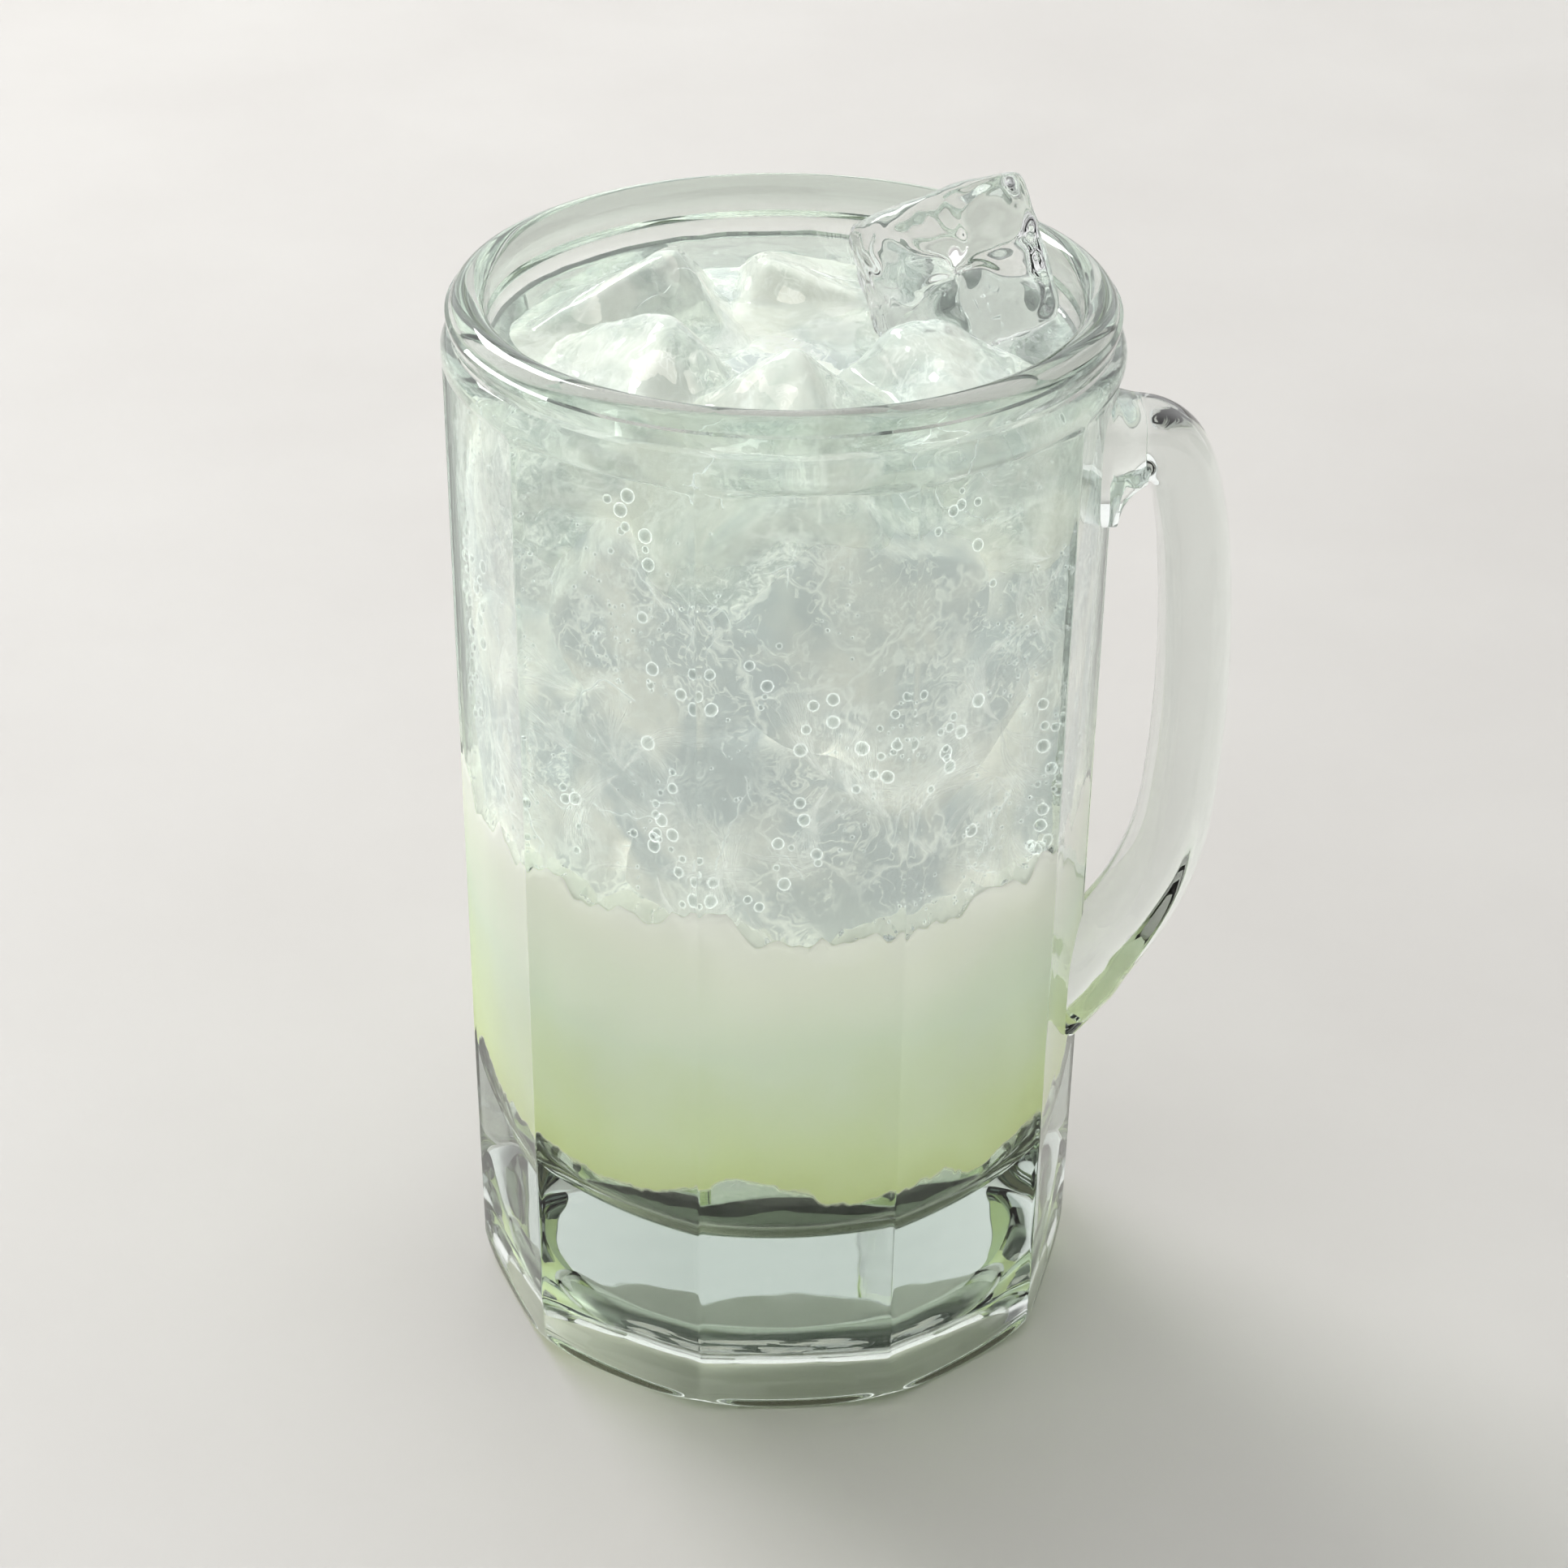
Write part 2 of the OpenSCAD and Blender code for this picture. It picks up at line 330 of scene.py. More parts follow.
# ---------------------------------------------------------------- ice
# Each block that stands out of the drink: size and its tip, lean and turn in degrees
FLOATING = {
    "ice_top": ((23, 20, 21), (-28, -15, 2)),
    "ice_left_back": ((27, 26, 22), (-20, -30, -4)),
    "ice_left_front": ((27, 25, 22), (28, -30, -24)),
    "ice_front": ((26, 24, 24), (30, -40, 6)),
    "ice_right": ((26, 24, 22), (20, 30, 16)),
    "ice_back": ((22, 20, 22), (-15, 20, 6)),
}
# Creases in the top block's broad faces: angle in degrees, depth in mm, share of its half width
TOP_CREASES = ((15, 0.8, 0.1), (62, 1.5, 0.1), (138, 1.7, 0.11), (205, 1.2, 0.09),
               (262, 2.0, 0.12), (330, 0.9, 0.08))
MELT_POWER = 11.0


def turned(tip, lean, turn):
    """Rotation matrix: lean about Y, then tip about X, then turn about Z."""
    return np.array(Matrix.Rotation(math.radians(turn), 3, "Z")
                    @ Matrix.Rotation(math.radians(tip), 3, "X")
                    @ Matrix.Rotation(math.radians(lean), 3, "Y"))


def melted_block(centre, size, axes, seed, cuts=8, depth=(0.74, 0.9)):
    """A block as its centre, axes and the planes that bound it: three pairs and some cut corners.

    Each plane is a row of a matrix, so that row times local place is 1 on the plane.
    """
    rng = np.random.default_rng(seed)
    half = np.array(size) / 2
    pairs = np.diag(1 / half)
    normals = rng.normal(size=(cuts, 3))
    normals /= np.linalg.norm(normals, axis=1, keepdims=True)
    away = (np.abs(normals) @ half) * rng.uniform(*depth, cuts)
    return centre, axes, np.concatenate([pairs, -pairs, normals / away[:, None]])


def plane_share(local, planes, power=MELT_POWER):
    """Below 1 inside the block: the power mean of how far a place is towards each plane."""
    return (np.maximum(local @ planes.T, 0) ** power).sum(-1) ** (1 / power)


def ball_grid(n):
    """Unit directions and quads of a cube of n by n grids blown up to a ball, seams merged."""
    steps = np.tan(np.linspace(-1, 1, n + 1) * math.pi / 4)
    u, v = np.meshgrid(steps, steps, indexing="ij")
    one = np.ones_like(u)
    sides = [np.stack(s, -1) for s in (
        (one, u, v), (-one, v, u), (v, one, u), (u, -one, v), (u, v, one), (v, u, -one))]
    points = np.concatenate([s.reshape(-1, 3) for s in sides])
    i, j = np.meshgrid(np.arange(n), np.arange(n), indexing="ij")
    a = i * (n + 1) + j
    quads = np.stack([a, a + n + 1, a + n + 2, a + 1], -1).reshape(-1, 4)
    faces = np.concatenate([quads + k * (n + 1) ** 2 for k in range(6)])
    _, first, same = np.unique(np.round(points, 6), axis=0, return_index=True,
                               return_inverse=True)
    points = points[first]
    points /= np.linalg.norm(points, axis=1, keepdims=True)
    return points, same.ravel()[faces]


def block_points(directions, block, seed, lumps=0.25):
    """A melted block: each direction runs out to the block's planes, then waves swell it."""
    centre, axes, planes = block
    local = directions / plane_share(directions, planes)[:, None]
    swell = lumps * (waves(local, 10, seed) + 0.35 * waves(local, 3.5, seed + 1))
    return centre + (local + directions * swell[:, None]) @ axes.T


def in_cavity(points, gap=0.3):
    """Points drawn in towards the axis where they would reach the mug's wall."""
    radius = np.hypot(points[:, 0], points[:, 1])
    limit = cavity_radius(points[:, 2]) - gap
    share = np.minimum(1, limit / np.maximum(radius, 1e-6))
    return np.concatenate([points[:, :2] * share[:, None], points[:, 2:]], 1)


def floating_centre(node):
    """The middle of a construction node's box."""
    low, high = box_mm(node)
    return (low + high) / 2


def top_block():
    """The clear block that stands above the rim, with a star of creases in its broad faces.

    On both broad faces the surface sinks into a dimple at the middle and along creases
    that run from it towards the edges, each a narrow valley that dies away outwards.
    """
    size, tilt = FLOATING["ice_top"]
    block = melted_block(floating_centre("ice_top"), size, turned(*tilt), 5, cuts=5)
    centre, axes, planes = block
    directions, faces = ball_grid(64)
    local = (block_points(directions, block, 5, lumps=0.3) - centre) @ axes
    half = np.array(size) / 2
    across, up = local[:, 0] / half[0], local[:, 2] / half[2]
    spread = np.hypot(across, up)
    sink = 2.6 * np.exp(-(spread / 0.22) ** 2)
    for angle, depth, width in TOP_CREASES:
        way = np.array([math.cos(math.radians(angle)), math.sin(math.radians(angle))])
        ahead = across * way[0] + up * way[1]
        beside = -across * way[1] + up * way[0]
        beside = beside + 0.05 * np.sin(ahead * 9 + angle)
        valley = depth * np.exp(-(beside / (width * (0.7 + ahead))) ** 2)
        sink = sink + np.where(ahead > 0, valley * np.clip(1.15 - ahead, 0, 1), 0)
    broad = np.clip(np.abs(local[:, 1]) / half[1] * 2 - 1, 0, 1)
    local[:, 1] -= np.sign(local[:, 1]) * sink * broad
    points = centre + local @ axes.T
    return outward(put_mesh("block_top", in_cavity(points, 0.1), faces)), block


def column_ends(x, y, block, reach=21.0):
    """Lowest and highest z inside a block over each x, y, found on a ladder of heights."""
    centre, axes, planes = block
    low = np.full(x.shape, np.inf)
    high = np.full(x.shape, -np.inf)
    near = np.hypot(x - centre[0], y - centre[1]) < reach
    flat = np.stack([x[near], y[near]], -1)
    ladder = np.linspace(centre[2] - reach, centre[2] + reach, 85)
    step = ladder[1] - ladder[0]
    lows, highs = low[near], high[near]
    before = np.full(len(flat), 2.0)
    for z in ladder:
        places = np.concatenate([flat, np.full((len(flat), 1), z)], 1)
        share = plane_share((places - centre) @ axes, planes)
        part = (1 - before) / np.where(share == before, 1, share - before)
        at = z - step + step * np.clip(part, 0, 1)
        lows = np.where((before >= 1) & (share < 1) & np.isinf(lows), at, lows)
        highs = np.where((before < 1) & (share >= 1), at, highs)
        before = share
    low[near], high[near] = lows, highs
    return low, high


# ---------------------------------------------------------------- drink
def drink_top(x, y, blocks, top_place):
    """Height of the drink's skin over each x, y.

    It is level, climbs the wall in a meniscus, is lifted over each floating block with a
    soft shoulder, and runs under the clear block, whose foot it wets.
    """
    radius = np.hypot(x, y)
    to_wall = np.maximum(cavity_radius(LEVEL_Z) - radius, 0)
    height = LEVEL_Z + 1.1 * np.exp(-to_wall / 1.5)
    flat = np.stack([x, y], -1)
    height += 0.12 * waves(flat, 13, 31) + 0.05 * waves(flat, 5, 32)
    for place in blocks:
        top = column_ends(x, y, place)[1]
        lift = np.where(np.isfinite(top), top + 0.25, height - 9)
        lift += 0.15 * waves(flat, 8, 33) + 0.04 * waves(flat, 3, 34)
        height = smooth_max(height, lift, 1.0)
    low = column_ends(x, y, top_place)[0]
    return np.where(low < height, low + 0.12, height)


def layer_height(x, y):
    """The uneven boundary between the two layers: broad and small waves about its mean height."""
    flat = np.stack([x, y], -1)
    swell = 1.8 * waves(flat, 22, 41)
    return LAYER_Z + swell + 1.1 * waves(flat, 7, 42) + 0.4 * waves(flat, 2.5, 43)


def pale_drink(blocks, top_place):
    """The pale layer: rings out over its wavy underside, up the wall and in over its top."""
    columns = 320
    angle = np.linspace(0, 2 * math.pi, columns, endpoint=False)[None, :]
    wall = cavity_radius(LAYER_Z) + WETTING
    under_r = np.linspace(1.0, wall, 32)[:, None]
    x, y = under_r * np.cos(angle), under_r * np.sin(angle)
    under = np.stack([x, y, layer_height(x, y)], -1)
    share = np.linspace(0, 1, 40)[1:-1, None]
    rim_z = LEVEL_Z + 1.1
    low_edge = under[-1:, :, 2]
    side_z = low_edge * (1 - share) + rim_z * share
    side_r = cavity_radius(side_z) + WETTING
    side = np.stack([side_r * np.cos(angle), side_r * np.sin(angle), side_z], -1)
    top_r = np.linspace(cavity_radius(rim_z) + WETTING, 0.6, 160)[:, None]
    x, y = top_r * np.cos(angle), top_r * np.sin(angle)
    top = np.stack([x, y, drink_top(x, y, blocks, top_place)], -1)
    grid = np.concatenate([under, side, top])
    return outward(put_mesh("drink_pale", *closed_rings(grid)))


def green_drink():
    """The green layer: rings out over the cavity's floor, up its wall and in over its wavy top."""
    columns = 240
    angle = np.linspace(0, 2 * math.pi, columns, endpoint=False)[None, :]
    section = np.concatenate([
        line(1.0, FLOOR_Z, CAVITY_R_FLOOR - FLOOR_FILLET, FLOOR_Z, 10),
        arc(CAVITY_R_FLOOR - FLOOR_FILLET, CAVITY_Z, FLOOR_FILLET + WETTING, -90, 0, 24)[1:],
    ])
    section[:10, 1] -= WETTING
    floor = np.stack([section[:, :1] * np.cos(angle), section[:, :1] * np.sin(angle),
                      section[:, 1:] + 0 * angle], -1)
    wall = cavity_radius(LAYER_Z) + WETTING
    top_r = np.linspace(wall, 1.0, 60)[:, None]
    x, y = top_r * np.cos(angle), top_r * np.sin(angle)
    top = np.stack([x, y, layer_height(x, y) + WETTING], -1)
    share = np.linspace(0, 1, 30)[1:-1, None]
    side_z = CAVITY_Z * (1 - share) + top[:1, :, 2] * share
    side_r = cavity_radius(side_z) + WETTING
    side = np.stack([side_r * np.cos(angle), side_r * np.sin(angle), side_z], -1)
    return outward(put_mesh("drink_green", *closed_rings(np.concatenate([floor, side, top]))))


def sunken_blocks(rng):
    """The blocks wholly under the surface: rings of them, and a middle one, down to the green layer."""
    blocks = []
    for level, count in ((LEVEL_Z - 24, 6), (LEVEL_Z - 42, 7), (LAYER_Z + 9, 7)):
        start = rng.uniform(0, 2 * math.pi)
        for i in range(count):
            angle = start + 2 * math.pi * i / count + rng.uniform(-0.2, 0.2)
            radius = rng.uniform(23, 27)
            centre = np.array([radius * math.cos(angle), radius * math.sin(angle),
                               level + rng.uniform(-4, 4)])
            blocks.append(melted_block(centre, rng.uniform(22, 30, 3),
                                       turned(*rng.uniform(-45, 45, 3)), int(rng.integers(SEEDS))))
        blocks.append(melted_block(np.array([0.0, 0.0, level]), rng.uniform(19, 24, 3),
                                   turned(*rng.uniform(-40, 40, 3)), int(rng.integers(SEEDS))))
    return blocks


def joined_blocks(name, blocks, seed, wall_gap, n=18):
    """One mesh of many melted blocks."""
    directions, faces = ball_grid(n)
    points = [in_cavity(block_points(directions, block, seed + 3 * i), wall_gap)
              for i, block in enumerate(blocks)]
    all_faces = [faces + i * len(directions) for i in range(len(blocks))]
    return outward(put_mesh(name, np.concatenate(points), np.concatenate(all_faces)))


def crack_lines(places, rng, per_block=9, rings=34, sides=5):
    """Thin wandering threads on the blocks' skins: where melted edges and cracks catch the light.

    Each thread starts in a random direction and turns about a random axis, runs on the
    block's surface and is shaken by waves; its radius swells and fades along it.
    """
    points, faces, made = [], [], 0
    around = np.linspace(0, 2 * math.pi, sides, endpoint=False)
    for centre, axes, planes in places:
        for _ in range(per_block):
            first = rng.normal(size=3)
            first /= np.linalg.norm(first)
            axis = np.cross(first, rng.normal(size=3))
            axis /= np.linalg.norm(axis)
            sweep = rng.uniform(0.35, 1.1)
            t = np.linspace(0, sweep, rings)[:, None]
            way = first * np.cos(t) + np.cross(axis, first) * np.sin(t)
            shakes = [waves(way * 10, 2.2, int(rng.integers(SEEDS)), 6) for _ in range(3)]
            way += 0.035 * np.stack(shakes, -1)
            reach = rng.uniform(1.0, 1.03) / plane_share(way, planes)
            run = centre + (way * reach[:, None]) @ axes.T
            run = in_cavity(run, 2.8)
            ahead = np.gradient(run, axis=0)
            ahead /= np.linalg.norm(ahead, axis=1, keepdims=True)
            side = np.cross(ahead, [0.31, 0.2, 0.93])
            side /= np.linalg.norm(side, axis=1, keepdims=True)
            other = np.cross(ahead, side)
            share = np.linspace(0, 1, rings)
            thick = rng.uniform(0.06, 0.15) * (0.25 + np.sin(math.pi * share) ** 0.7
                                              * (0.75 + 0.4 * np.sin(share * rng.uniform(20, 50))))
            grid = (run[:, None, :] + thick[:, None, None]
                    * (side[:, None, :] * np.cos(around)[None, :, None]
                       + other[:, None, :] * np.sin(around)[None, :, None]))
            new_points, new_faces = closed_rings(grid)
            points.append(new_points)
            faces += [[corner + made for corner in face] for face in new_faces]
            made += len(new_points)
    return np.concatenate(points), faces


def crack_fans(name, rng, stars):
    """Feathered cracks: from each start, several wedge-shaped sheets run out near the wall.

    A sheet's points lie at distance u along and v across its wedge, bent by waves; its UV map
    holds the share along it and the share across it.
    """
    u, v = np.meshgrid(np.linspace(0.02, 1, 15), np.linspace(-1, 1, 8), indexing="ij")
    cell = ring_faces(15, 8).reshape(14, 8, 4)[:, :-1].reshape(-1, 4)
    points, faces, uvs = [], [], []
    for _ in range(stars):
        angle, z = rng.uniform(0, 2 * math.pi), rng.uniform(LAYER_Z + 4, LEVEL_Z - 14)
        inset = rng.uniform(0.9, 1.9)
        out = np.array([math.cos(angle), math.sin(angle), 0])
        beside = np.array([-math.sin(angle), math.cos(angle), 0])
        start = out * (cavity_radius(z) - inset) + [0, 0, z]
        for _ in range(rng.integers(4, 8)):
            way, length = rng.uniform(0, 2 * math.pi), rng.uniform(6, 19)
            opening = rng.uniform(0.06, 0.26)
            theta = way + opening * v * (0.4 + 0.6 * u) + 0.25 * np.sin(3 * u + way)
            far = length * u
            flat = np.stack([far * np.cos(theta), far * np.sin(theta)], -1)
            bend = 0.5 * waves(flat, 9, int(rng.integers(SEEDS)), 6) * u
            depth = bend + rng.uniform(-0.03, 0.05) * far
            run = (start + flat[..., :1] * beside + flat[..., 1:] * np.array([0, 0, 1])
                   + depth[..., None] * out)
            faces.append(cell + sum(map(len, points)))
            points.append(in_cavity(run.reshape(-1, 3), 0.6))
            uvs.append(np.stack([u, v], -1).reshape(-1, 2))
    piece = put_mesh(name, np.concatenate(points), np.concatenate(faces))
    corners = np.zeros(len(piece.data.loops), np.int32)
    piece.data.loops.foreach_get("vertex_index", corners)
    layer = piece.data.uv_layers.new(name="along")
    layer.data.foreach_set("uv", np.concatenate(uvs)[corners].ravel())
    return piece


def scattered(radii, low_z, high_z, wall_share, per_train, rng):
    """Random places in the drink for balls of these radii, in upright trains, some at the wall."""
    count = len(radii)
    train = np.arange(count) // per_train
    trains = train[-1] + 1
    z = rng.uniform(low_z, high_z, trains)[train] + rng.normal(0, 4, count)
    z = low_z + np.abs(z - low_z)
    z = high_z - np.abs(high_z - z)
    angle = rng.uniform(0, 2 * math.pi, trains)[train] + rng.normal(0, 0.05, count)
    near_wall = (rng.random(trains) < wall_share)[train]
    radius = np.where(near_wall, cavity_radius(z) - radii - rng.uniform(0.1, 0.5, count),
                      cavity_radius(z) * np.sqrt(rng.random(count)) * 0.94)
    return np.stack([radius * np.cos(angle), radius * np.sin(angle), z], 1)


def balls(name, centres, radii, rows, columns):
    """Many small balls as one mesh: rings of latitude with a pole at each end."""
    lat = np.linspace(-math.pi / 2, math.pi / 2, rows + 2)[1:-1]
    lon = np.linspace(0, 2 * math.pi, columns, endpoint=False)
    ring = np.stack([np.cos(lat)[:, None] * np.cos(lon), np.cos(lat)[:, None] * np.sin(lon),
                     np.sin(lat)[:, None] + 0 * lon], -1)
    unit = np.concatenate([ring.reshape(-1, 3), [[0, 0, -1], [0, 0, 1]]])
    quads = ring_faces(rows, columns)
    here = np.arange(columns)
    beside = (here + 1) % columns
    start, end, last = rows * columns, rows * columns + 1, (rows - 1) * columns
    caps = np.concatenate([np.stack([np.full(columns, start), beside, here], 1),
                           np.stack([np.full(columns, end), last + here, last + beside], 1)])
    count = len(unit)
    points = (centres[:, None, :] + radii[:, None, None] * unit[None]).reshape(-1, 3)
    offsets = (np.arange(len(centres)) * count)[:, None, None]
    faces = (quads[None] + offsets).reshape(-1, 4).tolist()
    faces += (caps[None] + offsets).reshape(-1, 3).tolist()
    return outward(put_mesh(name, points, faces))


# ---------------------------------------------------------------- materials
def linear(hex_colour):
    """An sRGB hex colour as linear RGBA."""
    values = [int(hex_colour[i:i + 2], 16) / 255 for i in (1, 3, 5)]
    straight = [v / 12.92 if v <= 0.04045 else ((v + 0.055) / 1.055) ** 2.4 for v in values]
    return (*straight, 1.0)


def node(tree, kind, links=(), **settings):
    """Adds a node: settings go to its inputs by name or to its own properties, and links join
    (socket name or number, source node, source socket) to its inputs. Where two inputs share a
    name, the first has it."""
    new = tree.nodes.new(kind)
    sockets = {socket.name.lower().replace(" ", "_"): socket for socket in reversed(new.inputs[:])}
    for key, value in settings.items():
        if key in sockets:
            sockets[key].default_value = value
        else:
            setattr(new, key, value)
    for target, source, socket in links:
        tree.links.new(source.outputs[socket], new.inputs[target])
    return new


# In the helpers below, a value or a place is a pair: a source node and the name or number of
# its output.
def spread(tree, value, low, high, at_low=0.0, at_high=1.0, **settings):
    """Turns a value that runs from low to high into one that runs from at_low to at_high."""
    return node(tree, "ShaderNodeMapRange", links=[("Value", *value)], from_min=low,
                from_max=high, to_min=at_low, to_max=at_high, **settings)


def calculated(tree, operation, *terms):
    """A sum of the terms in order, each a number or a value."""
    new = node(tree, "ShaderNodeMath", operation=operation)
    for at, term in enumerate(terms):
        if isinstance(term, tuple):
            tree.links.new(term[0].outputs[term[1]], new.inputs[at])
        else:
            new.inputs[at].default_value = term
    return new


def mixed(tree, share, first, second):
    """The colour that lies that share of the way from first to second, each a hex colour or a
    value; output 2 holds it."""
    new = node(tree, "ShaderNodeMix", links=[(0, *share)], data_type="RGBA")
    for at, colour in ((6, first), (7, second)):
        if isinstance(colour, str):
            new.inputs[at].default_value = linear(colour)
        else:
            tree.links.new(colour[0].outputs[colour[1]], new.inputs[at])
    return new


def ramped(tree, value, stops):
    """A colour ramp over a value: each stop is a place from 0 to 1 and a hex colour."""
    new = node(tree, "ShaderNodeValToRGB", links=[(0, *value)])
    elements = new.color_ramp.elements
    for end in (0, -1):
        elements[end].position = stops[end][0]
        elements[end].color = linear(stops[end][1])
    for at, colour in stops[1:-1]:
        elements.new(at).color = linear(colour)
    return new


def fractal(tree, place, scale_mm, detail, **settings):
    """Fractal noise over a place, with features scale_mm wide."""
    return node(tree, "ShaderNodeTexNoise", links=[("Vector", *place)],
                scale=1 / (scale_mm * MM), detail=detail, **settings)


def object_place(tree):
    """The place on the piece."""
    return node(tree, "ShaderNodeTexCoord"), "Object"


def object_height(tree):
    """The height on the piece, in metres."""
    return node(tree, "ShaderNodeSeparateXYZ", links=[(0, *object_place(tree))]), "Z"


def relief(tree, scale_mm, height_mm, detail):
    """A bump node of fractal noise with features scale_mm wide and height_mm deep."""
    noise = fractal(tree, object_place(tree), scale_mm, detail)
    return node(tree, "ShaderNodeBump", links=[("Height", noise, 0)], distance=height_mm * MM,
                strength=1.0)


def new_material(name):
    """An empty node material and its output node."""
    material = bpy.data.materials.new(name)
    material.use_nodes = True
    material.node_tree.nodes.clear()
    return material, material.node_tree, material.node_tree.nodes.new("ShaderNodeOutputMaterial")


def lit_through(tree, output, shader, shadow_colour, base_colour=None):
    """Joins a clear shader to the output so that lamps shine through it onto what is behind.

    With a base colour, the thick base passes only that much, as it bends light aside.
    """
    path = node(tree, "ShaderNodeLightPath")
    clear = node(tree, "ShaderNodeBsdfTransparent", color=linear(shadow_colour))
    if base_colour:
        height = spread(tree, object_height(tree), PUNT_DEPTH * MM, FLOOR_Z * MM)
        shade = mixed(tree, (height, 0), base_colour, shadow_colour)
        tree.links.new(shade.outputs[2], clear.inputs["Color"])
    mix = node(tree, "ShaderNodeMixShader",
               links=[(0, path, "Is Shadow Ray"), (1, shader, 0), (2, clear, 0)])
    tree.links.new(mix.outputs[0], output.inputs["Surface"])


def absorbing(tree, output, colour, density):
    """Adds plain absorption in depth."""
    volume = node(tree, "ShaderNodeVolumeAbsorption", color=linear(colour), density=density)
    tree.links.new(volume.outputs[0], output.inputs["Volume"])


def pressed_glass():
    """Soda-lime glass, pressed and fire polished: clear, faintly green in depth, softly rippled.

    The rim is tinted more, as it is seen through the thickest glass.
    """
    material, tree, output = new_material("pressed_soda_lime_glass")
    ripple = relief(tree, 14, 0.2, detail=1.0)
    height = spread(tree, object_height(tree), (COLLAR_Z + 1) * MM, (MUG_H - RIM_T / 2) * MM)
    tint = mixed(tree, (height, 0), "#f9fbf9", "#dae2db")
    glass = node(tree, "ShaderNodeBsdfPrincipled",
                 links=[("Normal", ripple, 0), ("Base Color", tint, 2)],
                 roughness=0.0, ior=1.5, transmission_weight=1.0)
    lit_through(tree, output, glass, "#eff2ed", "#dde3c4")
    absorbing(tree, output, "#9db3a6", 12.0)
    return material


def pale_lemonade():
    """Clear cold lemonade: grey green in depth, with a wet skin that ripples finely and a faint painted
    glow.
    """
    material, tree, output = new_material("clear_pale_lemonade")
    ripple = relief(tree, 4.5, 0.12, detail=2.5)
    # The faint emission is a painted glow, standing in for light scattered in the drink
    drink = node(tree, "ShaderNodeBsdfPrincipled", links=[("Normal", ripple, 0)],
                 base_color=linear("#e6ebe8"), roughness=0.0, ior=1.33,
                 transmission_weight=0.92, emission_color=linear("#cfd6d2"),
                 emission_strength=0.05)
    lit_through(tree, output, drink, "#e2e9e5")
    absorbing(tree, output, "#bcc8c4", 14.0)
    return material


def green_lemonade():
    """Cloudy lime syrup under the drink: milky at its top, yellow green towards the floor.

    Near the floor the syrup is clear. Higher up it is cloudy: rougher, less see-through and
    given a painted glow, an emission that stands in for light scattered inside it. Its skin's
    inner side is painted dark higher up, a painted shade, so that the base's hollow, which
    mirrors it from below, shows a dark lower edge like that of thick glass.
    """
    material, tree, output = new_material("cloudy_lime_syrup")
    clear_up_to, cloudy_from = 0.165, 0.18
    noise = fractal(tree, object_place(tree), 16, 4.0)
    shake = calculated(tree, "SUBTRACT", (noise, 0), 0.5)
    shaken = calculated(tree, "MULTIPLY_ADD", (shake, 0), 16 * MM, object_height(tree))
    height = spread(tree, (shaken, 0), FLOOR_Z * MM, (LAYER_Z + 3) * MM), 0
    ramp = ramped(tree, height, (
        (0.0, "#fcfdf8"), (clear_up_to - 0.002, "#f6f7ea"), (cloudy_from, "#c8d494"),
        (0.3, "#d0dda8"), (0.6, "#dae6cb"), (0.85, "#f0f3e0"), (1.0, "#fafaf0")))
    clear = spread(tree, height, clear_up_to, cloudy_from, 1.0, 0.3)
    rough = spread(tree, height, clear_up_to, cloudy_from, 0.0, 0.5)
    # painted glow: emission in the cloudy part, standing in for light scattered inside the syrup
    glow = spread(tree, height, clear_up_to, cloudy_from, 0.0, 0.45)
    # painted shade: the skin's inner side is painted dark higher up, for the dark edge in the hollow's
    # mirror
    high = spread(tree, height, 0.25, 0.5)
    inside = mixed(tree, (high, 0), "#c3cfbc", "#39423a")
    side = node(tree, "ShaderNodeNewGeometry")
    shade = mixed(tree, (side, "Backfacing"), (ramp, 0), (inside, 2))
    drink = node(tree, "ShaderNodeBsdfPrincipled",
                 links=[("Base Color", shade, 2), ("Transmission Weight", clear, 0),
                        ("Roughness", rough, 0), ("Emission Color", shade, 2),
                        ("Emission Strength", glow, 0)],
                 ior=1.34)
    lit_through(tree, output, drink, "#8f977c")
    return material


def clear_ice():
    """Wet clear ice in air: sharp, bright and softly rippled."""
    material, tree, output = new_material("clear_wet_ice")
    ripple = relief(tree, 6.0, 0.25, detail=1.0)
    ice = node(tree, "ShaderNodeBsdfPrincipled", links=[("Normal", ripple, 0)],
               base_color=linear("#ffffff"), roughness=0.02, ior=1.31, transmission_weight=1.0)
    lit_through(tree, output, ice, "#fafcfb")
    return material


